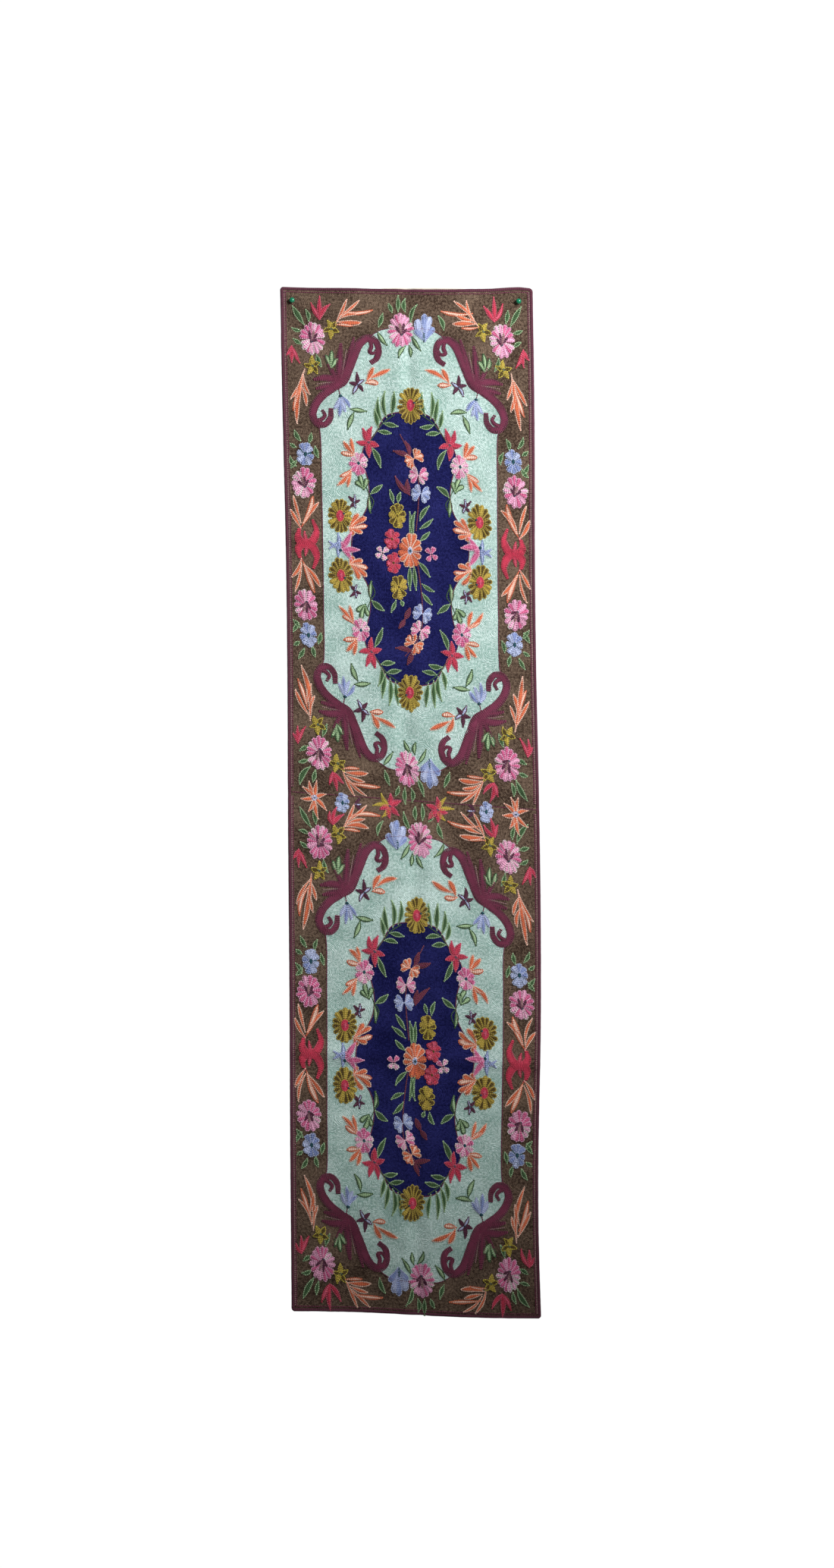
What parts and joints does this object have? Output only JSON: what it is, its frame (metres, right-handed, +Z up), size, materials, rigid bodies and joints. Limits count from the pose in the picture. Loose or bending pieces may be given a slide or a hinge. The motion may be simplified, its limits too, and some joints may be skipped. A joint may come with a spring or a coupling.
{
  "type": "chain stitch wall hanging with push pins",
  "caption": "Long narrow wool chain stitch embroidery with floral medallions and a maroon edge, pinned to a wall by its top corners.",
  "frame": {"origin": "on the wall plane, midway between the two push pins", "axes": "+Z up; the wall is the plane y = 0, the needles point along +Y into it, and the embroidered face looks along -Y"},
  "size_m": [0.4678, 0.027, 1.8479],
  "materials": {
    "embroidery": "wool chain stitch on a cotton ground",
    "edging": "maroon wool stitched over the turned edge",
    "pin_plastic": "moulded, glossy",
    "pin_steel": "drawn wire"
  },
  "bodies": {
    "root": {"embroidered_panel": "embroidery", "binding_top": "edging", "binding_bottom": "edging", "binding_left": "edging", "binding_right": "edging", "pin_head_left": "pin_plastic", "pin_head_right": "pin_plastic", "pin_needle_left": "pin_steel", "pin_needle_right": "pin_steel"}
  },
  "joints": []
}
